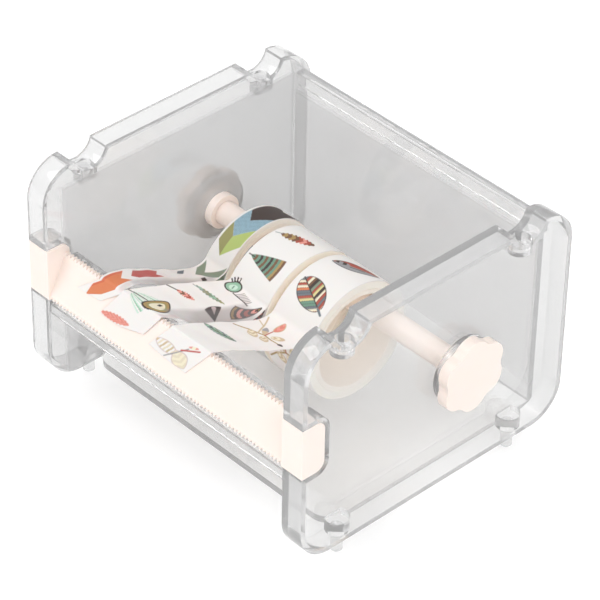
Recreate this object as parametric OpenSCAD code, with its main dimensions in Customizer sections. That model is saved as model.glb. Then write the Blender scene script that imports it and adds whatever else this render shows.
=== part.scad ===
// Desktop dispenser for three narrow rolls of paper tape.
// X runs along the cutter strip, Y from the front to the back, Z up.
// The origin is under the middle of the box, where the feet stand.

/* [Box] */
// Width over the two side panels
body_w = 112; // [92:1:160]
// Depth of the side panels, front to back
body_d = 100; // [82:1:140]
// Height of the side panels, without the feet
panel_h = 72; // [60:1:100]
// Radius of the side panels' corners
corner_r = 11; // [7:0.5:14]
// Width of the rim around each side panel
rim_w = 7.5; // [6:0.5:10]
// Thickness of the rim wall
rim_t = 1.6; // [1.2:0.1:2.2]
// Thickness of the side panels' flat plates
plate_t = 1.8; // [1.4:0.1:2.4]
// Thickness of the base and the back
sheet_t = 2.2; // [1.6:0.1:3]

/* [Stacking] */
// Length of the feet below the side panels
foot_h = 6; // [4:0.5:8]
// Diameter of a foot
foot_d = 3.6; // [3:0.1:5]
// Distance of the feet and the top scoops from the middle
foot_y = 33; // [24:0.5:40]
// Radius of the scoops in the top rims
scoop_r = 6; // [5:0.5:8]
// Depth of the scoops
scoop_depth = 4.8; // [3:0.1:6]

/* [Cutter strip] */
// Height of the strip's ends
strip_h = 16.5; // [13:0.5:21]
// Depth of the strip's ends
strip_depth = 8; // [6.5:0.5:10]
// Height of the strip's lower edge above the side panels' bottom
strip_z = 30.5; // [26:0.5:36]
// Thickness of the sloped face
strip_t = 1.8; // [1.4:0.1:2.4]
// Distance between teeth
tooth_pitch = 1.4; // [1:0.1:2.5]
// Height of a tooth
tooth_h = 1.1; // [0.8:0.1:2]

/* [Roller] */
// Diameter of the rod
rod_d = 7.3; // [5:0.1:9]
// Diameter over the knobs' lobes
knob_d = 23.2; // [18:0.2:28]
// Thickness of a knob's disc
knob_t = 3.4; // [2.4:0.1:5]
// Diameter of the round collar on each side panel
collar_d = 20.5; // [16:0.5:26]

/* [Tape] */
// Outside diameter of the two wide rolls
roll_d = 36.6; // [34:0.2:44]
// Outside diameter of the narrow roll on the left
narrow_d = 35; // [34:0.2:40]
// Bore of a roll's core
core_bore = 28.8; // [24:0.2:36]
// Wall thickness of the card core
core_t = 1.5; // [1:0.1:2.5]
// Width of the two wide tapes
tape_w = 16; // [12:0.5:20]
// Width of the narrow tape
narrow_w = 9; // [5:0.5:12]
// Gap between the narrow roll and the middle roll
left_gap = 11; // [1:0.5:14]
// Gap between the middle roll and the right roll
right_gap = 2.2; // [1:0.2:8]
// Middle of the middle roll along the rod
middle_x = -7; // [-12:0.5:6]
// How far the narrow roll is pulled forward from hanging straight down
left_lean = 8; // [0:1:60]
// How far the wide rolls are pulled forward from hanging straight down
wide_lean = 71; // [20:1:80]
// Thickness of a tape tail
tail_t = 0.2; // [0.15:0.01:0.4]

/* [Hidden] */
$fn = 96;

clear_pl = [0.86, 0.88, 0.9, 0.35];
cream_pl = [0.99, 0.94, 0.88];
card_col = [0.93, 0.88, 0.79];
paper_col = [0.95, 0.94, 0.92];
print_col = [0.86, 0.55, 0.4];

plate_x = body_w / 2 - rim_w;                  // inner face of the right side panel
hug = 0.1;                                     // gap between the strip's ends and their notches
run = 0.05;                                    // radial gap of a turning or sliding fit

// side panel outline
scoop_z = panel_h - scoop_depth + scoop_r;     // centre height of a scoop
notch_r = 3;
socket_d = foot_d + 0.8;
socket_len = 3.5;
foot_x = plate_x + rim_w / 2;

// rail behind and below the strip
rail_back = -body_d / 2 + 10.9;
rail_t = 2.8;
rail_top = strip_z + strip_h - 5.1;
ledge_top = strip_z - 1;
ledge_h = 4;

// base and back
base_front = -body_d / 2 + 16;
back_rear = body_d / 2 - 4;
back_top = panel_h - 6.5;
band_h = 5;
band_t = 3.4;

// roller and rolls
rod_r = rod_d / 2;
hang = core_bore / 2 - rod_r - 0.25;           // from a roll's centre up to the rod's centre
rod_y = 0.143 * body_d;
rod_z = sheet_t + 0.76 + narrow_d / 2 + hang * cos(left_lean);
hub_r = rod_r + 1.75;
hub_in = 2.5;                                  // how far a knob's hub stands inside its side panel
collar_h = 2;
knob_x = body_w / 2 - knob_t;                  // inner face of the right knob's disc
rod_end = body_w / 2 - 1.6;
function at_lean(a) = [rod_y - hang * sin(a), rod_z - hang * cos(a)];
// each roll, left to right: middle along X, width, radius, and axis as (y, z)
ROLLS = [
    [middle_x - tape_w / 2 - left_gap - narrow_w / 2, narrow_w, narrow_d / 2, at_lean(left_lean)],
    [middle_x, tape_w, roll_d / 2, at_lean(wide_lean)],
    [middle_x + tape_w + right_gap, tape_w, roll_d / 2, at_lean(wide_lean - 1)]];

// sloped face of the strip, from the lower teeth's tips to the upper teeth's tips, as (y, z)
face_lo = [-body_d / 2, strip_z + 0.3];
face_hi = [-body_d / 2 + 6.6, strip_z + strip_h - 2.9];
face_len = norm(face_hi - face_lo);
face_up = (face_hi - face_lo) / face_len;
face_out = [-face_up[1], face_up[0]];
face_angle = atan2(face_up[1], face_up[0]);

function circle_pt(c, r, a) = c + r * [cos(a), sin(a)];
function bezier(p, t) = pow(1 - t, 3) * p[0] + 3 * pow(1 - t, 2) * t * p[1]
    + 3 * (1 - t) * t * t * p[2] + t * t * t * p[3];

// a tape's path from the roll's top to its cut end on the strip, as (y, z); slack lets it sag behind
// the teeth, hump is the radius of its bend over them
wrap_from = 44;
wrap_to = 148;
lift = 0.35 + tail_t / 2;
lie = 0.1 + tail_t / 2;
steps_wrap = 13;
steps_span = 16;
steps_bend = 5;
steps_lie = 4;
keep_fold = 1.5;                               // upward set of the crease where a tape lies flat
function tail_path(roll, slack, rise, hump, run_down) =
    let (p0 = circle_pt(roll[3], roll[2] + lift, wrap_to),
        t0 = [-sin(wrap_to), cos(wrap_to)],
        top = 90 - rise,
        face_a = atan2(face_out[1], face_out[0]),
        mid = (top + face_a) / 2,
        hub = face_hi - hump * [cos(mid), sin(mid)],
        bend_r = lie + hump,
        p3 = circle_pt(hub, bend_r, top),
        ctrl = [p0, p0 + slack * t0, p3 + 13 * [cos(rise), -sin(rise)], p3],
        off = hub + bend_r * face_out,
        end = face_hi + lie * face_out - face_up * run_down)
    concat(
        [for (i = [0:steps_wrap - 1]) circle_pt(roll[3], roll[2] + lift,
            wrap_from + (wrap_to - wrap_from) * i / steps_wrap)],
        [for (i = [0:steps_span - 1]) bezier(ctrl, i / steps_span)],
        [for (i = [0:steps_bend - 1]) circle_pt(hub, bend_r, top + (face_a - top) * i / steps_bend)],
        [for (i = [0:steps_lie]) off + (end - off) * i / steps_lie]);

module rounded_rect(y0, z0, y1, z1, r) {
    difference() {
        translate([y0, z0]) square([y1 - y0, z1 - z0]);
        for (p = [[y0, z0, 0, 0], [y1, z0, 1, 0], [y0, z1, 0, 1], [y1, z1, 1, 1]])
            difference() {
                translate([p[0] - p[2] * r, p[1] - p[3] * r]) square(r);
                translate([p[0] + (1 - 2 * p[2]) * r, p[1] + (1 - 2 * p[3]) * r]) circle(r);
            }
    }
}

// outline of a side panel with its scoops and strip notch, drawn in by the given wall
module panel_outline(wall) {
    difference() {
        rounded_rect(-body_d / 2 + wall, wall, body_d / 2 - wall, panel_h - wall, corner_r - wall);
        for (s = [-1, 1]) translate([s * foot_y, scoop_z]) circle(scoop_r + wall);
        rounded_rect(-body_d / 2 - 12, strip_z - hug - wall, -body_d / 2 + strip_depth + hug + wall,
            strip_z + strip_h + hug + wall, notch_r + wall);
    }
}

module along_x(x0, len) translate([x0, 0, 0]) rotate([90, 0, 90]) linear_extrude(len) children();

module right_panel_solid() {
    difference() {
        union() {
            along_x(plate_x, rim_w) difference() {
                panel_outline(0);
                panel_outline(rim_t);
            }
            along_x(plate_x, plate_t) panel_outline(0);
            // collar around the knob's hub
            translate([plate_x, rod_y, rod_z]) rotate([0, 90, 0]) difference() {
                cylinder(h = plate_t + collar_h, d = collar_d);
                translate([0, 0, plate_t]) cylinder(h = collar_h + 1, d = collar_d - 2 * rim_t);
            }
            for (s = [-1, 1]) {
                // foot with the round boss it grows from
                translate([foot_x, s * foot_y, -foot_h + 0.6]) cylinder(h = foot_h, d = foot_d);
                translate([foot_x, s * foot_y, -foot_h])
                    cylinder(h = 0.6, d1 = foot_d - 1.2, d2 = foot_d);
                translate([foot_x, s * foot_y, rim_t / 2]) cylinder(h = 5, d = 7);
                // socket under the scoop
                translate([foot_x, s * foot_y, panel_h - scoop_depth - socket_len - 1])
                    cylinder(h = socket_len + 1, d = socket_d + 2.4);
            }
        }
        for (s = [-1, 1]) translate([foot_x, s * foot_y, panel_h - scoop_depth - socket_len])
            cylinder(h = socket_len + 3, d = socket_d);
        translate([plate_x - 1, rod_y, rod_z]) rotate([0, 90, 0])
            cylinder(h = plate_t + 2, r = hub_r + run);
    }
}

module right_side_panel() color(clear_pl) translate([0, 0, foot_h]) right_panel_solid();

module left_side_panel() color(clear_pl) mirror([1, 0, 0]) translate([0, 0, foot_h]) right_panel_solid();

module base_panel() color(clear_pl) translate([0, 0, foot_h]) linear_extrude(sheet_t) {
    r = 6;
    translate([-plate_x, base_front + r]) square([2 * plate_x, back_rear - base_front - r]);
    translate([-plate_x + r, base_front]) square([2 * (plate_x - r), r + 1]);
    for (s = [-1, 1]) translate([s * (plate_x - r), base_front + r]) circle(r);
}

module back_panel() color(clear_pl) translate([0, 0, foot_h]) along_x(-plate_x, 2 * plate_x) {
    translate([back_rear - sheet_t, sheet_t]) square([sheet_t, back_top - sheet_t]);
    translate([back_rear - sheet_t, back_top - band_h]) square([band_t, band_h]);
}

module front_rail() color(clear_pl) translate([0, 0, foot_h]) along_x(-plate_x, 2 * plate_x) {
    translate([rail_back - rail_t, ledge_top - ledge_h]) square([rail_t, rail_top - ledge_top + ledge_h]);
    translate([-body_d / 2 + 0.5, ledge_top - rim_t]) square([body_d / 2 + rail_back - 0.5, rim_t]);
    translate([-body_d / 2 + 0.5, ledge_top - ledge_h]) square([rim_t, ledge_h]);
}

// the sloped face: a strip with teeth along both long edges, drawn flat with its length along X
module toothed_face() {
    len = 2 * plate_x;
    n = floor(len / tooth_pitch);
    p = len / n;
    x0 = -len / 2;
    polygon(concat(
        [[x0, tooth_h]],
        [for (i = [0:n - 1], k = [0, 1]) k == 0 ? [x0 + (i + 0.5) * p, 0] : [x0 + (i + 1) * p, tooth_h]],
        [[-x0, face_len - tooth_h]],
        [for (i = [n - 1:-1:0], k = [0, 1])
            k == 0 ? [x0 + (i + 0.5) * p, face_len] : [x0 + i * p, face_len - tooth_h]]));
}

module cutter_strip() color(cream_pl) translate([0, 0, foot_h]) {
    translate([0, face_lo[0], face_lo[1]]) rotate([face_angle, 0, 0])
        translate([0, 0, -strip_t]) linear_extrude(strip_t) toothed_face();
    for (s = [-1, 1]) along_x(s > 0 ? plate_x - 0.5 : -body_w / 2, rim_w + 0.5)
        rounded_block();
    // floor behind the face, which joins the two ends
    along_x(-plate_x, 2 * plate_x)
        translate([-body_d / 2 + strip_t + 1.6, strip_z])
            square([strip_depth - strip_t - 1.6, 1.6]);
}

// end of the strip seen along X: flat in front, rounded behind
module rounded_block() {
    intersection() {
        rounded_rect(-body_d / 2 - 6, strip_z, -body_d / 2 + strip_depth, strip_z + strip_h, notch_r);
        translate([-body_d / 2, strip_z]) square([strip_depth, strip_h]);
    }
}

module on_axis(x0) translate([x0, rod_y, foot_h + rod_z]) rotate([0, 90, 0]) children();

module roller_rod() color(cream_pl) on_axis(-rod_end) cylinder(h = 2 * rod_end, r = rod_r);

module knob(bore) {
    lobe_r = 0.225 * knob_d;
    difference() {
        union() {
            linear_extrude(knob_t) {
                circle(0.44 * knob_d);
                for (a = [0:60:300]) rotate(a) translate([knob_d / 2 - lobe_r, 0]) circle(lobe_r);
            }
            translate([0, 0, -(knob_x - plate_x) - hub_in])
                cylinder(h = knob_x - plate_x + hub_in + 0.5, r = hub_r);
        }
        translate([0, 0, -(knob_x - plate_x) - hub_in - 1])
            cylinder(h = rod_end - plate_x + hub_in + 1, r = bore);
    }
}

module right_knob() color(cream_pl) on_axis(knob_x) knob(rod_r + 0.01);

module left_knob() color(cream_pl) mirror([1, 0, 0]) on_axis(knob_x) knob(rod_r + run);

module ring_at(roll, outer, inner)
    translate([roll[0] - roll[1] / 2, roll[3][0], foot_h + roll[3][1]]) rotate([0, 90, 0])
        difference() {
            cylinder(h = roll[1], r = outer);
            translate([0, 0, -1]) cylinder(h = roll[1] + 2, r = inner);
        }

module core(i) color(card_col) ring_at(ROLLS[i], core_bore / 2 + core_t, core_bore / 2);

module winding(i) color(paper_col) ring_at(ROLLS[i], ROLLS[i][2], core_bore / 2 + core_t);

// a tape's tail: at_edge and at_end are where its middle crosses the teeth and ends, measured from the
// left side panel; in mid-span it rolls over by bank, and right of its crease it folds down by fold
module tail(i, at_edge, at_end, bank, fold, crease, slack, rise, hump, run_down) {
    roll = ROLLS[i];
    path = tail_path(roll, slack, rise, hump, run_down);
    n = len(path);
    first = steps_wrap;
    last = steps_wrap + steps_span;
    edge_x = at_edge - plate_x;
    end_x = at_end - plate_x;
    pts = [for (k = [0:n - 1])
        let (d = path[min(k + 1, n - 1)] - path[max(k - 1, 0)],
            u = d / norm(d),
            nrm = [-u[1], u[0]],
            t = min(1, max(0, (k - first) / steps_span)),
            down = max(0, (k - last - 2) / (n - 3 - last)),
            swing = k > first && k < last ? sin(180 * t) : 0,
            b = bank * swing,
            f = b + fold * swing - keep_fold,
            x = roll[0] + (edge_x - roll[0]) * pow(t, 1.6) + (end_x - edge_x) * down,
            left = [cos(b), sin(b) * nrm[0], sin(b) * nrm[1]],
            right = [cos(f), sin(f) * nrm[0], sin(f) * nrm[1]],
            thick = [0, nrm[0], nrm[1]] * tail_t / 2,
            c = [x, path[k][0], path[k][1]] + crease * left,
            l = c - (crease + roll[1] / 2) * left,
            r = c + (roll[1] / 2 - crease) * right)
        each [l - thick, l + thick, c + thick, r + thick, r - thick, c - thick]];
    faces = concat(
        [[5, 4, 3, 2, 1, 0]],
        [for (k = [0:n - 2], j = [0:5])
            let (a = 6 * k + j, b = 6 * k + (j + 1) % 6) [a, b, b + 6, a + 6]],
        [[for (j = [0:5]) 6 * (n - 1) + j]]);
    color(print_col) translate([0, 0, foot_h]) polyhedron(pts, faces, convexity = 6);
}

module left_core() core(0);
module left_winding() winding(0);
module left_tail() tail(0, 20.5, 13.5, -6, 52, narrow_w / 2 - 3.1, 9, 4, 1.2, 6.6);
module middle_core() core(1);
module middle_winding() winding(1);
module middle_tail() tail(1, 33, 28, 14, 46, tape_w / 2 - 2.8, 4, 18, 0.3, 9);
module right_core() core(2);
module right_winding() winding(2);
module right_tail() tail(2, 53.5, 47.5, 0, 6, 3, 7, 14, 0.3, 9);

left_side_panel();
right_side_panel();
base_panel();
back_panel();
front_rail();
cutter_strip();
roller_rod();
left_knob();
right_knob();
left_core();
left_winding();
left_tail();
middle_core();
middle_winding();
middle_tail();
right_core();
right_winding();
right_tail();
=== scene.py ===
import bpy, math
import numpy as np
from mathutils import Matrix, Vector


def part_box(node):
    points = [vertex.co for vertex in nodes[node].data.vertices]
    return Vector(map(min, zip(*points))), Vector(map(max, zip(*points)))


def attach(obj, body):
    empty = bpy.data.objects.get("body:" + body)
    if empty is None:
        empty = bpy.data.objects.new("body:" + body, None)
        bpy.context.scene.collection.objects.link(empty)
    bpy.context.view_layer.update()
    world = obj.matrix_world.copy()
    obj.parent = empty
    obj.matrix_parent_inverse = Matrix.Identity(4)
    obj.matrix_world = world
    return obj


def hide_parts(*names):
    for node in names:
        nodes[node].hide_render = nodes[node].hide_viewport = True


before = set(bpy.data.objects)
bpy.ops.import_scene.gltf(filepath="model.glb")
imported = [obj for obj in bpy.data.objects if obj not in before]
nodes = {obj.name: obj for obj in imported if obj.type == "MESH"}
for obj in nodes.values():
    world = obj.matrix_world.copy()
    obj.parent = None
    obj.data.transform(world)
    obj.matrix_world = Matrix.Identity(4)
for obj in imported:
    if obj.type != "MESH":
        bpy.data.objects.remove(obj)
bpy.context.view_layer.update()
mm = 0.001                      # everything handed to Blender is in metres
print("frame loaded:", len(nodes), "nodes")

# camera, in metres and degrees, with lens and sensor in mm, and how often light bounces
cameraSettings = {
    "target": (0.01892, -0.01666, 0.05793),
    "azimuth": 46.45, "elevation": 37.65, "roll": 1.09,
    "distance": 0.8829, "lens": 196.3, "sensor": 36, "near": 0.01, "far": 20,
    "bounces": 24, "diffuseBounces": 8,
}


def makeCamera(s):
    # looks from azimuth and elevation at the target, then turns by roll about its own axis
    a, e, r = (math.radians(s[k]) for k in ("azimuth", "elevation", "roll"))
    back = Vector((math.sin(a) * math.cos(e), -math.cos(a) * math.cos(e), math.sin(e)))
    right = Vector((0, 0, 1)).cross(back).normalized()
    up = back.cross(right)
    x = right * math.cos(r) + up * math.sin(r)
    y = up * math.cos(r) - right * math.sin(r)
    data = bpy.data.cameras.new("camera")
    data.lens, data.sensor_width = s["lens"], s["sensor"]
    data.clip_start, data.clip_end = s["near"], s["far"]
    cam = bpy.data.objects.new("camera", data)
    turn = Matrix((x, y, back)).transposed().to_4x4()
    cam.matrix_world = Matrix.Translation(Vector(s["target"]) + back * s["distance"]) @ turn
    bpy.context.scene.collection.objects.link(cam)
    bpy.context.scene.camera = cam


makeCamera(cameraSettings)
look = bpy.context.scene
look.view_settings.view_transform = "Standard"
look.cycles.max_bounces = cameraSettings["bounces"]   # enough to pass through every clear wall
look.cycles.transmission_bounces = look.cycles.transparent_max_bounces = cameraSettings["bounces"]
look.cycles.diffuse_bounces = cameraSettings["diffuseBounces"]
print("camera placed")

# studio: strengths of the sky and the soft lights, sizes and places in metres
studio = {
    "horizon": 0.56, "zenith": 0.9, "zenithFrom": 0.8,
    "key": {"at": (-0.7, -0.9, 1.5), "size": 0.9, "power": 9.0},
    "fill": {"at": (1.3, -0.5, 0.9), "size": 0.8, "power": 4.3},
    "floorColour": (0.93, 0.93, 0.93), "floorGlow": 0.19, "floorHalf": 3.0, "floorPoints": 13,
    "rough": (0.7, 0.85), "grain": 300.0, "bump": 0.05, "bumpHeight": 0.1 * mm,
}


def makeSky(s):
    # a soft tent: brightness grows with height from the horizon to the top
    world = bpy.data.worlds.new("studioSky")
    bpy.context.scene.world = world
    world.use_nodes = True
    nt = world.node_tree
    back = nt.nodes["Background"]
    coord = nt.nodes.new("ShaderNodeTexCoord")
    split = nt.nodes.new("ShaderNodeSeparateXYZ")
    ramp = nt.nodes.new("ShaderNodeMapRange")
    ramp.inputs["From Min"].default_value = 0.0
    ramp.inputs["From Max"].default_value = s["zenithFrom"]
    ramp.inputs["To Min"].default_value = s["horizon"]
    ramp.inputs["To Max"].default_value = s["zenith"]
    nt.links.new(coord.outputs["Generated"], split.inputs[0])
    nt.links.new(split.outputs["Z"], ramp.inputs["Value"])
    nt.links.new(ramp.outputs["Result"], back.inputs["Strength"])
    back.inputs["Color"].default_value = (1, 1, 1, 1)


def makeLight(name, s, target=(0, 0, 0.04)):
    # a soft square light that looks at the middle of the box
    data = bpy.data.lights.new(name, "AREA")
    data.shape, data.size, data.energy = "SQUARE", s["size"], s["power"]
    lamp = bpy.data.objects.new(name, data)
    lamp.location = s["at"]
    lamp.rotation_euler = (Vector(target) - Vector(s["at"])).to_track_quat("-Z", "Y").to_euler()
    bpy.context.scene.collection.objects.link(lamp)


def node(mat, kind, **inputs):
    # adds a shader node and sets its inputs by name
    n = mat.node_tree.nodes.new("ShaderNode" + kind)
    for key, value in inputs.items():
        n.inputs[key.replace("_", " ")].default_value = value
    return n


def link(mat, a, out, b, into):
    mat.node_tree.links.new(a.outputs[out], b.inputs[into])


def newMaterial(name):
    mat = bpy.data.materials.new(name)
    mat.use_nodes = True
    return mat, mat.node_tree.nodes["Principled BSDF"]


def srgb(*c):
    # 0..255 display values to linear light
    c = np.array(c, float) / 255
    return np.where(c <= 0.04045, c / 12.92, ((c + 0.055) / 1.055) ** 2.4)


def speckle(mat, shader, coords, s, slower=0.06):
    # fine bump and a slow drift in roughness, both from noise on the given coordinates; returns both noises
    fine = node(mat, "TexNoise", Scale=s["grain"], Detail=4.0)
    bump = node(mat, "Bump", Strength=s["bump"], Distance=s["bumpHeight"])
    slow = node(mat, "TexNoise", Scale=s["grain"] * slower, Detail=2.0)
    ramp = node(mat, "MapRange", To_Min=s["rough"][0], To_Max=s["rough"][1])
    link(mat, *coords, fine, "Vector")
    link(mat, *coords, slow, "Vector")
    link(mat, fine, "Fac", bump, "Height")
    link(mat, slow, "Fac", ramp, "Value")
    link(mat, ramp, "Result", shader, "Roughness")
    link(mat, bump, "Normal", shader, "Normal")
    return fine, slow


def tinted(mat, shader, factor, a, b):
    # base colour drifts between two close colours
    mix = mat.node_tree.nodes.new("ShaderNodeMix")
    mix.data_type = "RGBA"
    mix.inputs[6].default_value = (*a, 1)   # sockets 6 and 7 are the two colours, output 2 the mixed one
    mix.inputs[7].default_value = (*b, 1)
    mat.node_tree.links.new(factor, mix.inputs[0])
    mat.node_tree.links.new(mix.outputs[2], shader.inputs["Base Color"])


# clear plastic: tint and clearness of each sheet and of its thicker rim. What isn't clear is a milky haze,
# which also lets out the light that runs along inside a rim
clearSettings = {
    "left": {"tint": (0.72, 0.721, 0.723), "clear": 0.60, "rim": (0.80, 0.80, 0.80), "rimClear": 0.77},
    "right": {"tint": (0.90, 0.90, 0.90), "clear": 0.89, "rim": (0.80, 0.80, 0.80), "rimClear": 0.77},
    "back": {"tint": (0.73, 0.73, 0.732), "clear": 0.62, "rim": (0.78, 0.78, 0.78), "rimClear": 0.74},
    "base": {"tint": (0.90, 0.892, 0.884), "clear": 0.74, "rim": (0.90, 0.90, 0.90), "rimClear": 0.84},
    "rail": {"tint": (0.82, 0.82, 0.82), "clear": 0.76, "rim": (0.84, 0.84, 0.84), "rimClear": 0.80},
    "rimWidth": 7.0 * mm, "rimFrom": 0.985, "rimTo": 1.03, "cloud": 0.12, "ior": 1.46, "rough": (0.0, 0.03),
    "rippleScale": 55.0, "ripple": 0.25, "rippleHeight": 0.12 * mm, "shadow": 0.93,
}


def clearPlastic(name, sheet, box, s=clearSettings):
    # the rim takes over where max(|y|, |z|), measured from the sheet's middle and scaled so that the edge
    # of the flat sheet is 1, passes 1; noise clouds the tint a little
    mat, p = newMaterial(name)
    p.inputs["IOR"].default_value = s["ior"]
    coord = node(mat, "TexCoord")
    slow = node(mat, "TexNoise", Scale=s["rippleScale"], Detail=1.5)
    bump = node(mat, "Bump", Strength=s["ripple"], Distance=s["rippleHeight"])
    ramp = node(mat, "MapRange", To_Min=s["rough"][0], To_Max=s["rough"][1])
    link(mat, coord, "Object", slow, "Vector")
    link(mat, slow, "Fac", bump, "Height")
    link(mat, slow, "Fac", ramp, "Value")
    link(mat, ramp, "Result", p, "Roughness")
    link(mat, bump, "Normal", p, "Normal")
    low, high = (np.array(c) for c in box)
    half = (high - low) / 2 - s["rimWidth"]
    scale = (0.0, 1 / half[1], 1 / half[2])
    centred = node(mat, "Mapping", Scale=scale, Location=tuple(-(low + high) / 2 * scale))
    size = node(mat, "VectorMath")
    size.operation = "ABSOLUTE"
    split = node(mat, "SeparateXYZ")
    far = node(mat, "Math")
    far.operation = "MAXIMUM"
    edge = node(mat, "MapRange", From_Min=s["rimFrom"], From_Max=s["rimTo"])
    link(mat, coord, "Object", centred, "Vector")
    link(mat, centred, "Vector", size, 0)
    link(mat, size, "Vector", split, 0)
    link(mat, split, "Y", far, 0)
    link(mat, split, "Z", far, 1)
    link(mat, far, 0, edge, "Value")
    cloud = node(mat, "MapRange", To_Min=-s["cloud"], To_Max=s["cloud"])
    total = node(mat, "Math")
    link(mat, slow, "Fac", cloud, "Value")
    link(mat, edge, "Result", total, 0)
    link(mat, cloud, "Result", total, 1)
    tinted(mat, p, total.outputs[0], sheet["tint"], sheet["rim"])
    clarity = node(mat, "MapRange", To_Min=sheet["clear"], To_Max=sheet["rimClear"])
    link(mat, edge, "Result", clarity, "Value")
    link(mat, clarity, "Result", p, "Transmission Weight")
    # light passes on through the plastic instead of leaving a black shadow
    path = node(mat, "LightPath")
    through = node(mat, "BsdfTransparent", Color=(s["shadow"],) * 3 + (1,))
    mix = node(mat, "MixShader")
    link(mat, path, "Is Shadow Ray", mix, 0)
    link(mat, p, 0, mix, 1)
    link(mat, through, 0, mix, 2)
    link(mat, mix, 0, mat.node_tree.nodes["Material Output"], "Surface")
    return mat


# cream plastic of the strip, the rod and the knobs
creamSettings = {
    "colour": srgb(252, 238, 230), "deep": srgb(248, 233, 224), "rough": (0.32, 0.44),
    "grain": 1400.0, "bump": 0.12, "bumpHeight": 0.05 * mm,
    "scatter": 0.12, "scatterColour": (1.0, 0.7, 0.45), "scatterDepth": 1.2 * mm,
}


def creamPlastic(name, s=creamSettings):
    mat, p = newMaterial(name)
    coord = node(mat, "TexCoord")
    drift = speckle(mat, p, (coord, "Object"), s)[1]
    tinted(mat, p, drift.outputs["Fac"], s["colour"], s["deep"])
    p.inputs["Subsurface Weight"].default_value = s["scatter"]
    p.inputs["Subsurface Radius"].default_value = s["scatterColour"]
    p.inputs["Subsurface Scale"].default_value = s["scatterDepth"]
    return mat


# grey-cream card of the cores
cardSettings = {
    "colour": srgb(254, 247, 238), "deep": srgb(247, 238, 226), "rough": (0.7, 0.9),
    "grain": 900.0, "bump": 0.35, "bumpHeight": 0.1 * mm, "stretch": (0.35, 1.0, 1.0),
}


def cardMaterial(name, s=cardSettings):
    mat, p = newMaterial(name)
    coord = node(mat, "TexCoord")
    stretch = node(mat, "Mapping", Scale=s["stretch"])
    link(mat, coord, "Object", stretch, "Vector")
    fibres = speckle(mat, p, (stretch, "Vector"), s)[0]
    tinted(mat, p, fibres.outputs["Fac"], s["colour"], s["deep"])
    return mat


def finish(obj, mat, width, segments=2, weldWithin=0.004 * mm, sharp=38):
    # welds the loose triangles of a CAD piece and rounds the edges that are sharper than an angle
    obj.data.materials.clear()
    obj.data.materials.append(mat)
    weld = obj.modifiers.new("weld", "WELD")
    weld.merge_threshold = weldWithin
    bevel = obj.modifiers.new("round", "BEVEL")
    bevel.width, bevel.segments = width, segments
    bevel.limit_method, bevel.angle_limit = "ANGLE", math.radians(sharp)
    bevel.use_clamp_overlap = True
    bevel.harden_normals = False


# what the three tapes share, in mm and degrees: the strip's upper and lower tooth line as (y, z) and the
# left side panel's x, then how the paper wraps, leaves its roll and lies, how its crease fades in and out
# along the free span, and its thickness, ripples and torn end
tapeShared = {
    "teeth": (-43.4, 50.1), "faceLow": (-50.0, 36.8), "leftPanel": -48.5,
    "wrapFrom": 44.0, "wrapTo": 148.0, "lift": 0.45, "liftFrom": 0.75, "wrapGap": 0.16, "lie": 0.2,
    "approach": 13, "driftPower": 1.6,
    "foldFrom": 0.12, "foldTo": 0.86, "foldFade": 0.22, "creaseWidth": 1.6,
    "cell": 0.18, "thick": 0.12, "ripple": 0.12, "rippleLength": 8.5, "rippleSkew": 0.35,
    "zigzag": 0.35, "zigzagPitch": 1.4, "cutPower": 4,
}
# each tape: its middle's distance from the left panel at the teeth and at its end, the angles that it rolls
# over by and is folded by, the folded width, how far it sags and rises, and how it lies on the strip
tapes = {
    "left": {"edgeAt": 20.5, "endAt": 13.5, "bank": -6, "fold": 52, "right": 3.1, "slack": 9,
             "rise": 4, "hump": 1.2, "runDown": 6.6, "slant": 0.12, "curl": 0.1, "over": 0.0},
    "middle": {"edgeAt": 33.0, "endAt": 28.0, "bank": 14, "fold": 62, "right": 5.6, "slack": 4,
               "rise": 18, "hump": 0.3, "runDown": 9.0, "slant": 0.28, "curl": 0.12, "over": 0.16},
    "right": {"edgeAt": 53.5, "endAt": 47.5, "bank": 0, "fold": 6, "right": 5.0, "slack": 7,
              "rise": 14, "hump": 0.3, "runDown": 9.0, "slant": -0.1, "curl": 0.15, "over": 0.0},
}


def rollOf(name):
    # middle along X, width, radius and axis (y, z) of a roll, in mm, from its packed winding
    low, high = (np.array(c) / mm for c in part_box(name + "_winding"))
    centre = (low + high) / 2
    return centre[0], high[0] - low[0], (high[2] - low[2]) / 2, centre[1:]


def arc(centre, r, degrees):
    # points centre + r (cos a, sin a)
    a = np.radians(degrees)
    return np.stack([centre[0] + r * np.cos(a), centre[1] + r * np.sin(a)], -1)


def bezier(p, t):
    # (1-t)^3 p0 + 3 (1-t)^2 t p1 + 3 (1-t) t^2 p2 + t^3 p3
    t = t[:, None]
    return (1 - t) ** 3 * p[0] + 3 * (1 - t) ** 2 * t * p[1] + 3 * (1 - t) * t * t * p[2] + t ** 3 * p[3]


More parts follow.
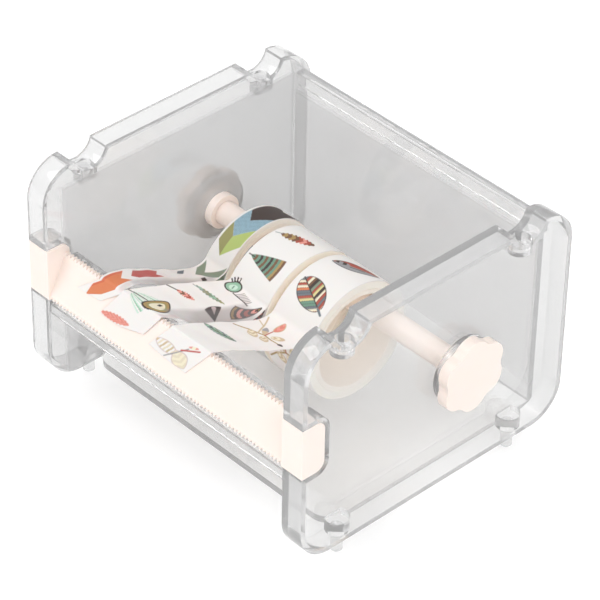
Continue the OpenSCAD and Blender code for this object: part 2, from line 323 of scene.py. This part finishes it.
def tapePath(roll, s, g=tapeShared, n=160):
    # the tape's middle line seen from the side as (y, z): an arc round the roll, which lifts off by the
    # square of how far it has passed liftFrom, a sagging cubic to the teeth, an arc over them, and a
    # straight run down the sloped face; t is 0..1 along the cubic and d is 0..1 down the face
    teeth, low = np.array(g["teeth"]), np.array(g["faceLow"])
    upFace = (teeth - low) / np.linalg.norm(teeth - low)
    outFace = np.array([-upFace[1], upFace[0]])
    faceA = math.degrees(math.atan2(outFace[1], outFace[0]))
    wrapTo, rise = g["wrapTo"], math.radians(s["rise"])
    lie = g["lie"] + s["over"]
    top, bendR = 90 - s["rise"], lie + s["hump"]
    mid = math.radians((top + faceA) / 2)
    hub = teeth - s["hump"] * np.array([math.cos(mid), math.sin(mid)])
    w = math.radians(wrapTo)
    away = np.array([-math.sin(w), math.cos(w)])
    k = np.linspace(0, 1, n, endpoint=False)
    lifted = np.clip((k - g["liftFrom"]) / (1 - g["liftFrom"]), 0, 1) ** 2
    near = g["wrapGap"] + (g["lift"] - g["wrapGap"]) * lifted
    start = arc(roll[3], 1.0, np.array([wrapTo]))[0] - roll[3]
    p0 = roll[3] + (roll[2] + g["lift"]) * start
    p3 = arc(hub, bendR, np.array([top]))[0]
    arrive = g["approach"] * np.array([math.cos(rise), -math.sin(rise)])
    ctrl = [p0, p0 + s["slack"] * away, p3 + arrive, p3]
    a = np.radians(g["wrapFrom"] + (wrapTo - g["wrapFrom"]) * k)
    wrap = roll[3] + (roll[2] + near)[:, None] * np.stack([np.cos(a), np.sin(a)], -1)
    end = teeth + lie * outFace - upFace * s["runDown"]
    off = hub + bendR * outFace
    bend = arc(hub, bendR, top + (faceA - top) * k)
    face = off + (end - off) * np.linspace(0, 1, n)[:, None]
    path = np.concatenate([wrap, bezier(ctrl, k), bend, face])
    zero = np.zeros(n)
    t = np.concatenate([zero, k, zero + 1, zero + 1])
    d = np.concatenate([zero, zero, zero, np.linspace(0, 1, n)])
    return path, t, d


def tapeGrid(roll, s, g=tapeShared):
    # a ribbon carried along that path. Across it, the angle from X is the bank left of the crease and
    # bank + fold right of it, both growing as the sine of t, the fold only clear of the roll and the rail;
    # the sheet's offset is the running integral of (cos, sin) of that angle. Its end is a slanted zigzag.
    # Returns points in mm with their places along and across the tape
    path, t, d = tapePath(roll, s)
    step = np.linalg.norm(np.diff(path, axis=0), axis=1)
    along = np.concatenate([[0], np.cumsum(step)])
    half = roll[1] / 2
    nAcross = 2 * int(round(half / g["cell"])) + 1
    nAlong = int(along[-1] / g["cell"])
    w = np.linspace(-half, half, nAcross)
    cut = s["slant"] * w + g["zigzag"] * (np.abs((w / g["zigzagPitch"]) % 1 * 2 - 1) - 0.5)
    f = np.linspace(0, 1, nAlong)[:, None]
    run = f * (along[-1] - cut[None, :] * f ** g["cutPower"])
    across = np.broadcast_to(w, run.shape)
    tangent = np.gradient(path, along, axis=0)
    tangent /= np.linalg.norm(tangent, axis=1)[:, None]
    pick = lambda v: np.interp(run, along, v)
    span, down = pick(t), pick(d)
    swing = np.where((span > 0) & (span < 1), np.sin(math.pi * span), 0)
    edgeX, endX = g["leftPanel"] + s["edgeAt"], g["leftPanel"] + s["endAt"]
    x = roll[0] + (edgeX - roll[0]) * span ** g["driftPower"] + (endX - edgeX) * down
    ny, nz = pick(-tangent[:, 1]), pick(tangent[:, 0])
    crease = half - s["right"]
    turn = np.clip((across - crease) / g["creaseWidth"] + 0.5, 0, 1)
    turn = turn * turn * (3 - 2 * turn)
    opens = np.clip((span - g["foldFrom"]) / g["foldFade"], 0, 1)
    closes = np.clip((g["foldTo"] - span) / g["foldFade"], 0, 1)
    curl = s["curl"] * swing * across / half
    angle = np.radians(s["bank"] + s["fold"] * turn * (opens * closes)) * swing - curl
    dw = w[1] - w[0]
    c, q = (np.cumsum(v, axis=1) * dw for v in (np.cos(angle), np.sin(angle)))
    middle = nAcross // 2
    c, q = c - c[:, middle:middle + 1], q - q[:, middle:middle + 1]
    wave = g["ripple"] * swing * np.sin(2 * math.pi * run / g["rippleLength"] + g["rippleSkew"] * across)
    q = q + wave
    points = np.stack([x + c, pick(path[:, 0]) + q * ny, pick(path[:, 1]) + q * nz], -1)
    return points, run, across


# wound rolls, in mm: corner radius of the section, gap to the core, cell of the printed face, points on a
# corner, a cut side, the inside and round the ring, and how far below the face a point is bare edge
ringSettings = {"corner": 0.22, "coreGap": 0.02, "cell": 0.22, "cornerPoints": 5, "sidePoints": 9,
                "innerPoints": 6, "around": 520, "bareBelow": 0.02}


def ringGrid(roll, bore, g=ringSettings):
    # a ring with a rounded rectangular section turned about X: the section is walked once round at
    # even steps on each side, and every point (x, r) goes to (x, y + r cos a, z + r sin a)
    x0, width, r, axis = roll
    h, corner, many, few = width / 2, g["corner"], g["sidePoints"], g["innerPoints"]
    quarter = np.linspace(0, math.pi / 2, g["cornerPoints"])
    corners = []
    outer = np.linspace(h - corner, -h + corner, int(width / g["cell"]))
    flat = np.linspace(r - corner, bore + corner, many)
    for k, (cx, cr) in enumerate(((h - corner, r - corner), (-h + corner, r - corner),
                                  (-h + corner, bore + corner), (h - corner, bore + corner))):
        a = k * math.pi / 2 + quarter
        corners.append(np.stack([cx + corner * np.cos(a), cr + corner * np.sin(a)], -1))
    topLine = np.stack([outer, np.full(len(outer), r)], -1)[1:-1]
    leftLine = np.stack([np.full(many, -h), flat], -1)[1:-1]
    innerLine = np.stack([np.linspace(-h + corner, h - corner, few), np.full(few, bore)], -1)[1:-1]
    rightLine = np.stack([np.full(many, h), flat[::-1]], -1)[1:-1]
    section = np.concatenate([corners[0], topLine, corners[1], leftLine, corners[2], innerLine,
                              corners[3], rightLine])
    a = np.linspace(0, 2 * math.pi, g["around"], endpoint=False)[:, None]
    x, rr = section[:, 0][None, :], section[:, 1][None, :]
    points = np.stack([x0 + x + 0 * a, axis[0] + rr * np.cos(a), axis[1] + rr * np.sin(a)], -1)
    across = np.broadcast_to(x, points.shape[:2])
    angle = np.broadcast_to(np.degrees(a), points.shape[:2])
    bare = np.broadcast_to((rr < r - g["bareBelow"]).astype(float), points.shape[:2])
    return points, angle, across, bare


def gridMesh(name, points, colour, closed, bare=None):
    # quads between neighbouring grid points; closed joins the last row and column to the first
    rows, cols = points.shape[:2]
    index = np.arange(rows * cols).reshape(rows, cols)
    if closed:
        a, b = index, np.roll(index, -1, axis=0)
        c, e = np.roll(b, -1, axis=1), np.roll(index, -1, axis=1)
    else:
        a, b, c, e = index[:-1, :-1], index[1:, :-1], index[1:, 1:], index[:-1, 1:]
    quads = np.stack([a, b, c, e], -1).reshape(-1, 4)
    mesh = bpy.data.meshes.new(name)
    mesh.vertices.add(rows * cols)
    mesh.vertices.foreach_set("co", (points.reshape(-1, 3) * mm).astype(np.float32).ravel())
    mesh.loops.add(quads.size)
    mesh.loops.foreach_set("vertex_index", quads.ravel().astype(np.int32))
    mesh.polygons.add(len(quads))
    mesh.polygons.foreach_set("loop_start", (np.arange(len(quads)) * 4).astype(np.int32))
    mesh.update(calc_edges=True)
    mesh.polygons.foreach_set("use_smooth", np.ones(len(quads), bool))
    # colours per point: the tapes' inks, with painted shade on their folded flaps
    ink = mesh.color_attributes.new("print", "FLOAT_COLOR", "POINT")
    rgba = np.concatenate([colour.reshape(-1, 3), np.ones((rows * cols, 1))], 1)
    ink.data.foreach_set("color", rgba.astype(np.float32).ravel())
    if bare is not None:
        side = mesh.attributes.new("paperEdge", "FLOAT", "POINT")
        side.data.foreach_set("value", bare.reshape(-1).astype(np.float32))
    obj = bpy.data.objects.new(name, mesh)
    bpy.context.scene.collection.objects.link(obj)
    return obj


# inks, as they look on the paper; the grey ink also serves as painted shade on the folded tape flaps
inks = {
    "paper": srgb(235, 228, 225), "edge": srgb(254, 248, 238), "dark": srgb(62, 50, 46),
    "brown": srgb(118, 82, 58), "ochre": srgb(168, 140, 88), "tan": srgb(200, 178, 146),
    "cream": srgb(233, 221, 196), "rust": srgb(170, 78, 62), "orange": srgb(214, 124, 82),
    "deepOrange": srgb(206, 106, 74), "red": srgb(184, 90, 84), "pink": srgb(226, 150, 138),
    "sky": srgb(142, 172, 186), "slate": srgb(106, 114, 120), "mint": srgb(148, 186, 160),
    "paleMint": srgb(198, 220, 204), "green": srgb(92, 128, 104), "greyGreen": srgb(128, 142, 122),
    "lime": srgb(176, 192, 110), "olive": srgb(150, 146, 92), "umber": srgb(70, 58, 54),
    "yellow": srgb(216, 202, 144), "greyInkAndShade": srgb(150, 150, 152), "jade": srgb(106, 144, 124),
    "salmon": srgb(216, 130, 116), "greyPink": srgb(206, 186, 184), "sand": srgb(222, 208, 184),
}


# how prints are edged, in mm: blur of a drawn edge, outline of leaves and fans, half a rib and the outline
# of ovals; a seam's middle, half width and blur are parts of a band
printEdge = {"soft": 0.18, "outline": 0.28, "rib": 0.16, "ovalOutline": 0.9,
             "seamAt": 0.08, "seamHalf": 0.16, "seamSoft": 0.1}


def cover(distance, soft=printEdge["soft"]):
    # 1 inside, 0 outside, with a soft step of that width where the distance is 0
    return np.clip(distance / soft + 0.5, 0, 1)


def lay(inkAndShade, amount, ink):
    # dye + (ink - dye) amount
    inkAndShade += ((inks[ink] if isinstance(ink, str) else ink) - inkAndShade) * amount[..., None]


def turned(along, across, at, turn):
    # the point seen from a motif at a place on the tape, turned from the tape's run
    a = math.radians(turn)
    x, v = along - at[0], across - at[1]
    return x * math.cos(a) + v * math.sin(a), v * math.cos(a) - x * math.sin(a)


def banded(k, fill):
    # ink of each whole band number, and how far through its band a point is, 0..1
    return np.array([inks[f] for f in fill])[np.floor(k).astype(int) % len(fill)], k % 1


def line(inkAndShade, along, across, points, width=0.35, ink="dark"):
    # every stretch between two points: distance to it against half the width
    for a, b in zip(points[:-1], points[1:]):
        a, v = np.array(a, float), np.subtract(b, a).astype(float)
        t = np.clip(((along - a[0]) * v[0] + (across - a[1]) * v[1]) / (v @ v), 0, 1)
        lay(inkAndShade, cover(width / 2 - np.hypot(along - a[0] - t * v[0], across - a[1] - t * v[1])), ink)


def barbs(inkAndShade, along, across, start, step, reach, count, width=0.2, ink="dark"):
    # short lines of one direction, one step apart
    for k in range(count):
        a = np.add(start, np.multiply(step, k))
        line(inkAndShade, along, across, (a, np.add(a, np.multiply(reach, 1 - 0.06 * k))), width, ink)


def leaf(inkAndShade, along, across, at, size, turn, fill, other=None, bands=0, slope=0.0, edge=None, rib=None,
         power=0.7, early=1.0, ragged=0.0, seam=0.0):
    # half width = width / 2 sin(pi u^early)^power for u 0..1 along the leaf; bands follow
    # u + slope |v| / width, so they meet at the rib as chevrons
    x, v = turned(along, across, at, turn)
    u = x / size[0] + 0.5
    wave = np.sin(math.pi * np.clip(u, 0, 1) ** early)
    half = size[1] / 2 * np.clip(wave, 0, 1) ** power * (1 + ragged * np.sin(u * 55) * np.sign(v))
    inside = (u > 0) & (u < 1)
    if edge:
        lay(inkAndShade, cover(half + printEdge["outline"] - np.abs(v)) * ((u > -0.02) & (u < 1.02)), edge)
    k = (u + slope * np.abs(v) / size[1]) * max(bands, 1)
    ink, part = banded(k, fill)
    if other:
        ink = np.where((v > 0)[..., None], banded(k, other)[0], ink)
    lay(inkAndShade, cover(half - np.abs(v)) * inside, ink)
    if seam:
        fromSeam = printEdge["seamHalf"] - np.abs(part - printEdge["seamAt"])
        drawn = seam * cover(half - np.abs(v)) * inside
        lay(inkAndShade, drawn * cover(fromSeam, printEdge["seamSoft"]), "dark")
    if rib:
        lay(inkAndShade, cover(printEdge["rib"] - np.abs(v)) * ((u > 0.02) & (u < 0.9)), rib)


def fan(inkAndShade, along, across, at, size, turn, fill, bands=1, rays=0, edge=None, power=0.8, bow=0.12):
    # starts as a point and widens: half width = width / 2 u^power, and its far edge bows out by
    # bow (1 - (v / half width)^2); bands cross it, rays spread from the point
    x, v = turned(along, across, at, turn)
    u = x / size[0]
    half = size[1] / 2 * np.clip(u, 0.001, 1.2) ** power
    q = np.clip(v / half, -1, 1)
    toEnd = (1 - bow * q * q - u) * size[0]
    if edge:
        more = printEdge["outline"]
        lay(inkAndShade, cover(half + more - np.abs(v)) * (u > -0.03) * cover(toEnd + more), edge)
    ink = banded((q + 1) * rays / 2 if rays else (u + bow * q * q) * bands, fill)[0]
    lay(inkAndShade, cover(half - np.abs(v)) * ((u > 0) * cover(toEnd)), ink)


def drop(inkAndShade, along, across, at, size, turn, ink, edge=None, point=0.35):
    # an oval with one end drawn to a point: half width = width / 2 sqrt(1 - w^2) (1 - point w), w -1..1
    x, v = turned(along, across, at, turn)
    w = 2 * x / size[0]
    half = size[1] / 2 * np.sqrt(np.clip(1 - w * w, 0, 1)) * (1 - point * w)
    if edge:
        more = printEdge["ovalOutline"]
        grown = 2 * x / (size[0] + more)
        outer = (size[1] + more) / 2 * np.sqrt(np.clip(1 - grown * grown, 0, 1)) * (1 - point * grown)
        lay(inkAndShade, cover(outer - np.abs(v)) * (np.abs(grown) < 1), edge)
    lay(inkAndShade, cover(half - np.abs(v)) * (np.abs(w) < 1), ink)


def patch(inkAndShade, along, across, at, size, turn, ink, amount=1.0, soft=0.3):
    # a rectangle with soft edges
    x, v = turned(along, across, at, turn)
    lay(inkAndShade, amount * cover(size[0] / 2 - np.abs(x), soft) * cover(size[1] / 2 - np.abs(v), soft), ink)


def chevron(inkAndShade, along, across, span, left, right=None, at=-0.4, split=-0.4, slope=1.17, reach=(-3.8, 4.1),
            fleck=0.0):
    # a band between two edges along + slope |across - at| = constant, in one ink on each side of a line
    v = along + slope * np.abs(across - at)
    band = cover(v - span[0]) * cover(span[1] - v) * cover(across - reach[0]) * cover(reach[1] - across)
    lay(inkAndShade, band * (across < split), left)
    lay(inkAndShade, band * (across >= split), right or left)
    if fleck:
        # flecks where the product of two warped sines is high
        spots = np.sin(along * 9.1 + 3 * np.sin(across * 5.3))
        spots = spots * np.sin(across * 8.7 + 2 * np.sin(along * 6.1))
        lay(inkAndShade, band * fleck * np.clip(spots * 3 - 1.2, 0, 1), "slate")


# what is printed on each tape, with soft grey patches of painted shade on the folded flaps of the left and
# middle tapes: places are (along, across) in mm, from the back of the roll's top, where the tape's path
# starts, and from its middle line; sizes are (length, width), turns are degrees from its run
motifs = {
    "left": (
        (chevron, {"span": (3.0, 16.6), "left": "umber"}),
        (chevron, {"span": (16.6, 23.6), "left": "sky", "fleck": 0.5}),
        (chevron, {"span": (23.6, 30.4), "left": "olive", "right": "lime"}),
        (chevron, {"span": (37.4, 41.3), "left": "greyGreen"}),
        (chevron, {"span": (46.6, 49.4), "left": "slate", "reach": (-3.6, -1.8)}),
        (chevron, {"span": (58.6, 69.4), "left": "red", "right": "red", "reach": (-3.4, 1.2)}),
        (chevron, {"span": (73.6, 84.6), "left": "deepOrange", "right": "orange", "split": -2.7,
                   "reach": (-3.8, 1.9)}),
        # painted shade: a soft half-strength grey band along the crease and folded flap, which face away
        # from the light
        (patch, {"at": (55.0, 3.3), "size": (36, 2.8), "turn": 0, "ink": "greyInkAndShade", "amount": 0.5,
                 "soft": 1.6}),
        (patch, {"at": (40.3, 2.5), "size": (1.6, 1.3), "turn": 0, "ink": "dark"}),
        (patch, {"at": (75.6, 3.4), "size": (4.4, 1.9), "turn": 12, "ink": "greyPink", "amount": 0.5,
                 "soft": 0.6}),
    ),
    "middle": (
        (leaf, {"at": (11.8, -0.7), "size": (10.6, 3.4), "turn": 110, "fill": ("brown", "ochre", "brown",
                "ochre", "brown", "rust", "pink", "rust", "brown"), "bands": 9, "slope": 0.2, "power": 0.5,
                "ragged": 0.18}),
        (line, {"points": ((14.2, -7.2), (13.3, -5.4)), "ink": "greyInkAndShade"}),
        (fan, {"at": (24.6, -6.4), "size": (11.2, 7.8), "turn": 91,
               "fill": ("green", "jade", "brown", "jade", "dark", "jade", "brown", "jade", "dark", "jade",
                        "brown", "jade", "ochre", "brown"),
               "bands": 14, "power": 0.72, "bow": 0.05}),
        (line, {"points": ((24.6, -7.2), (24.6, -5.0)), "ink": "dark"}),
        (fan, {"at": (35.6, -4.4), "size": (3.9, 4.4), "turn": 207, "fill": ("dark", "paper"), "rays": 7,
               "power": 1.0}),
        (drop, {"at": (35.4, -4.5), "size": (4.2, 4.0), "turn": 27, "ink": "mint", "edge": "dark",
                "point": 0.05}),
        (drop, {"at": (35.5, -4.4), "size": (2.6, 2.3), "turn": 27, "ink": "paleMint", "point": 0.05}),
        (line, {"points": ((36.1, -4.1), (34.9, -4.7)), "width": 0.3, "ink": "green"}),
        (line, {"points": ((37.2, -2.3), (37.1, 3.6)), "width": 0.35}),
        (barbs, {"start": (37.1, -1.5), "step": (0.0, 0.7), "reach": (-2.2, 0.9), "count": 7}),
        (leaf, {"at": (44.2, -2.8), "size": (9.2, 1.5), "turn": 113, "bands": 8,
                "fill": ("greyGreen", "mint", "greyGreen", "olive"), "slope": 0.4, "ragged": 0.2}),
        (line, {"points": ((46.6, -7.4), (44.6, -3.6)), "width": 0.3, "ink": "greyInkAndShade"}),
        (line, {"points": ((54.4, -7.9), (51.6, -4.0)), "width": 0.4}),
        (leaf, {"at": (51.5, -3.4), "size": (5.4, 1.9), "turn": 118, "fill": ("rust", "pink", "brown",
                "pink"), "bands": 6, "slope": 0.4, "ragged": 0.25}),
        (fan, {"at": (64.8, -6.6), "size": (8.6, 12.0), "turn": 93, "fill": ("paleMint", "paper", "mint",
               "paleMint", "paper"), "rays": 22, "power": 0.6}),
        (line, {"points": ((65.4, -8.0), (64.6, -5.6), (64.0, -2.0)), "width": 0.4}),
        (drop, {"at": (62.8, 1.2), "size": (8.4, 5.4), "turn": 205, "ink": "ochre", "edge": "dark",
                "point": 0.45}),
        (drop, {"at": (62.9, 1.3), "size": (5.4, 3.4), "turn": 205, "ink": "cream", "edge": "olive",
                "point": 0.45}),
        (patch, {"at": (62.2, 0.9), "size": (1.5, 0.9), "turn": 25, "ink": "dark"}),
        (leaf, {"at": (75.0, -2.9), "size": (10.6, 2.5), "turn": 96, "fill": ("pink", "salmon"),
                "bands": 12, "slope": 0.6, "power": 0.6, "ragged": 0.12}),
        (fan, {"at": (46.3, 6.4), "size": (4.6, 6.2), "turn": -84, "fill": ("dark",), "power": 1.0}),
        (fan, {"at": (46.4, 4.4), "size": (2.4, 1.8), "turn": -88, "fill": ("greyPink",), "power": 1.0}),
        (fan, {"at": (35.4, 6.9), "size": (6.6, 3.6), "turn": -26, "fill": ("ochre", "dark", "pink", "dark",
               "rust", "dark", "pink", "dark"), "bands": 9, "edge": "dark"}),
        # painted shade: a soft grey band on the folded flap, which faces down and away from the light
        (patch, {"at": (50.0, 5.4), "size": (26, 5.6), "turn": 0, "ink": "greyInkAndShade", "amount": 0.42,
                 "soft": 1.4}),
        (patch, {"at": (63.8, 7.0), "size": (5.6, 1.9), "turn": 8, "ink": "greyPink", "amount": 0.55,
                 "soft": 0.6}),
    ),
    "right": (
        (leaf, {"at": (7.4, 0.4), "size": (13.6, 5.2), "turn": 122, "fill": ("greyInkAndShade",),
                "other": ("rust",), "power": 0.75, "edge": "dark"}),
        (leaf, {"at": (9.2, -3.2), "size": (4.4, 1.8), "turn": 122, "fill": ("dark", "greyInkAndShade"),
                "bands": 4}),
        (line, {"points": ((8.9, -0.6), (6.6, 2.8)), "width": 0.35}),
        (leaf, {"at": (24.3, -0.3), "size": (12.4, 7.9), "turn": 62,
                "fill": ("slate", "cream", "rust", "cream", "orange", "slate", "slate", "rust", "yellow",
                         "jade", "jade"),
                "other": ("slate", "rust", "cream", "brown", "dark", "greyGreen", "rust", "yellow", "dark",
                          "cream", "rust"),
                "bands": 13, "slope": 0.33, "edge": "dark", "rib": "dark", "power": 0.52, "early": 0.9,
                "seam": 0.45}),
        (line, {"points": ((27.0, 4.6), (28.1, 6.4)), "width": 0.7, "ink": "slate"}),
        (leaf, {"at": (56.7, -2.6), "size": (10.6, 2.4), "turn": 100, "fill": ("greyGreen", "mint", "slate",
                "mint"), "bands": 9, "slope": 0.5, "edge": "greyInkAndShade", "ragged": 0.1}),
        (line, {"points": ((57.4, -6.0), (55.9, 2.0)), "width": 0.3, "ink": "dark"}),
        # a twig with leaves and buds
        (line, {"points": ((48.4, -7.2), (45.6, -4.4), (43.4, -0.6), (43.6, 2.6), (43.2, 5.2)),
                "width": 0.55, "ink": "ochre"}),
        (line, {"points": ((44.2, -2.2), (40.4, -4.6), (36.6, -7.2)), "width": 0.45, "ink": "tan"}),
        (line, {"points": ((40.4, -4.6), (39.4, -7.6)), "width": 0.35, "ink": "tan"}),
        (line, {"points": ((43.4, -0.4), (38.6, -1.6)), "width": 0.4, "ink": "rust"}),
        (leaf, {"at": (46.2, -2.0), "size": (4.6, 2.2), "turn": 65, "fill": ("tan", "cream"), "bands": 5,
                "slope": 0.5, "edge": "tan"}),
        (leaf, {"at": (41.8, -2.2), "size": (4.4, 1.8), "turn": 40, "fill": ("greyInkAndShade", "tan"),
                "bands": 2}),
        (leaf, {"at": (37.6, -1.5), "size": (4.6, 1.9), "turn": 10, "fill": ("pink", "salmon"), "bands": 4,
                "slope": 0.5, "edge": "tan"}),
        (leaf, {"at": (45.4, 1.6), "size": (4.0, 1.9), "turn": 60, "fill": ("cream", "tan"), "bands": 4,
                "slope": 0.5, "edge": "tan"}),
        (leaf, {"at": (41.4, 2.4), "size": (3.6, 1.7), "turn": 130, "fill": ("cream", "tan"), "bands": 4,
                "slope": 0.5, "edge": "tan"}),
        (drop, {"at": (43.2, 5.6), "size": (1.7, 1.3), "turn": 90, "ink": "dark"}),
        # two banded leaves with a red twig
        (leaf, {"at": (73.6, -3.6), "size": (8.6, 2.8), "turn": 84, "bands": 12,
                "fill": ("tan", "paper", "sand", "paper"), "edge": "greyPink", "power": 0.6}),
        (leaf, {"at": (74.6, 3.0), "size": (7.6, 3.8), "turn": 66, "fill": ("sand", "cream"), "bands": 7,
                "slope": 0.4, "edge": "greyPink", "power": 0.8}),
        (line, {"points": ((76.2, -1.4), (73.4, 0.4), (70.6, 2.0)), "width": 0.5, "ink": "greyInkAndShade"}),
        (line, {"points": ((72.0, 0.8), (69.4, 5.2)), "width": 0.6, "ink": "red"}),
        (leaf, {"at": (69.4, 2.9), "size": (3.2, 1.0), "turn": 110, "fill": ("pink", "cream"), "bands": 3}),
    ),
}


printLength = 86.0   # mm after which a pattern starts again


def drawPrintAndShade(name, along, across, repeat=printLength):
    # paper, then every motif over it in turn, the patches of painted shade among them; past its length the
    # pattern starts again
    along = np.where(along > repeat, along - repeat, along)
    inkAndShade = np.broadcast_to(inks["paper"], (*along.shape, 3)).copy()
    for draw, settings in motifs[name]:
        draw(inkAndShade, along, across, **settings)
    return inkAndShade


paperSettings = {"rough": (0.42, 0.6), "grain": 1100.0, "bump": 0.18, "bumpHeight": 0.04 * mm,
                 "rings": 5200.0, "ringShade": (1.03, 0.97), "scatter": 0.15, "scatterDepth": 0.6 * mm}


def paperMaterial(name, roll, s=paperSettings):
    # printed paper: ink and painted shade from the mesh, fibres as bump, and fine winding rings on the
    # roll's cut sides, which are noise on the distance from the roll's axis
    mat, p = newMaterial(name)
    coord = node(mat, "TexCoord")
    ink = node(mat, "Attribute")
    ink.attribute_name = "print"
    speckle(mat, p, (coord, "Object"), s)
    centre = node(mat, "Mapping", Location=(0, -roll[3][0] * mm, -roll[3][1] * mm), Scale=(0, 1, 1))
    radius = node(mat, "VectorMath")
    radius.operation = "LENGTH"
    rings = node(mat, "TexNoise", Scale=s["rings"], Detail=2.0)
    rings.noise_dimensions = "1D"
    side = node(mat, "Attribute")
    side.attribute_name = "paperEdge"
    amount = node(mat, "Math")
    amount.operation = "MULTIPLY"
    shade = node(mat, "HueSaturation")
    value = node(mat, "MapRange", To_Min=s["ringShade"][0], To_Max=s["ringShade"][1])
    link(mat, coord, "Object", centre, "Vector")
    link(mat, centre, "Vector", radius, 0)
    link(mat, radius, "Value", rings, "W")
    link(mat, rings, "Fac", amount, 0)
    link(mat, side, "Fac", amount, 1)
    link(mat, amount, 0, value, "Value")
    link(mat, value, "Result", shade, "Value")
    link(mat, ink, "Color", shade, "Color")
    link(mat, shade, "Color", p, "Base Color")
    p.inputs["Subsurface Weight"].default_value = s["scatter"]
    p.inputs["Subsurface Scale"].default_value = s["scatterDepth"]
    return mat


makeSky(studio)
makeLight("keyLight", studio["key"])
makeLight("fillLight", studio["fill"])
print("studio lit")


def makeFloor(s):
    # a level sheet below the feet: x and y run over a grid, z stays 0
    n = s["floorPoints"]
    x, y = np.meshgrid(*(np.linspace(-s["floorHalf"], s["floorHalf"], n),) * 2, indexing="ij")
    points = np.stack([x, y, 0 * x], -1) / mm
    obj = gridMesh("floor", points[:, ::-1][::-1], np.ones((n, n, 3)), False)
    mat, p = newMaterial("floorPaper")
    coord = node(mat, "TexCoord")
    drift = speckle(mat, p, (coord, "Object"), s)[1]
    c = np.array(s["floorColour"])
    tinted(mat, p, drift.outputs["Fac"], c, c * 0.99)
    p.inputs["Emission Color"].default_value = (1, 1, 1, 1)
    p.inputs["Emission Strength"].default_value = s["floorGlow"]
    obj.data.materials.append(mat)


makeFloor(studio)

# clear pieces: settings used and edge rounding; cream pieces: edge rounding and its segments
clearPieces = {
    "left_side_panel": ("left", 0.45 * mm), "right_side_panel": ("right", 0.45 * mm),
    "back_panel": ("back", 0.35 * mm), "base_panel": ("base", 0.35 * mm), "front_rail": ("rail", 0.3 * mm),
}
creamPieces = {
    "cutter_strip": (0.18 * mm, 3), "roller_rod": (0.4 * mm, 3), "left_knob": (1.5 * mm, 5),
    "right_knob": (1.5 * mm, 5),
}
coreRounding = 0.15 * mm

for part, (sheet, width) in clearPieces.items():
    finish(nodes[part], clearPlastic(sheet + "Clear", clearSettings[sheet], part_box(part)), width)
cream = creamPlastic("creamPlastic")
for part, (width, segments) in creamPieces.items():
    finish(nodes[part], cream, width, segments)
card = cardMaterial("coreCard")
print("panels, strip and roller finished")

for name, s in tapes.items():
    roll = rollOf(name)
    mat = paperMaterial(name + "Paper", roll)
    points, along, across = tapeGrid(roll, s)
    tail = gridMesh(name + "Tape", points, drawPrintAndShade(name, along, across), False)
    tail.data.materials.append(mat)
    solid = tail.modifiers.new("paperThickness", "SOLIDIFY")
    solid.thickness, solid.offset = tapeShared["thick"] * mm, -1
    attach(tail, "frame")
    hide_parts(name + "_tail")
    bore = (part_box(name + "_core")[1][2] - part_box(name + "_core")[0][2]) / 2 / mm
    points, angle, across, bare = ringGrid(roll, bore + ringSettings["coreGap"])
    along = np.radians((angle - tapeShared["wrapFrom"]) % 360) * roll[2]   # so it joins the tape's print
    inkAndShade = drawPrintAndShade(name, along, across)
    inkAndShade = np.where(bare[..., None] > 0.5, inks["edge"], inkAndShade)
    ring = gridMesh(name + "Roll", points, inkAndShade, True, bare)
    ring.data.materials.append(mat)
    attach(ring, name + "_roll")
    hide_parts(name + "_winding")
    finish(nodes[name + "_core"], card, coreRounding)
    print(name, "tape made")
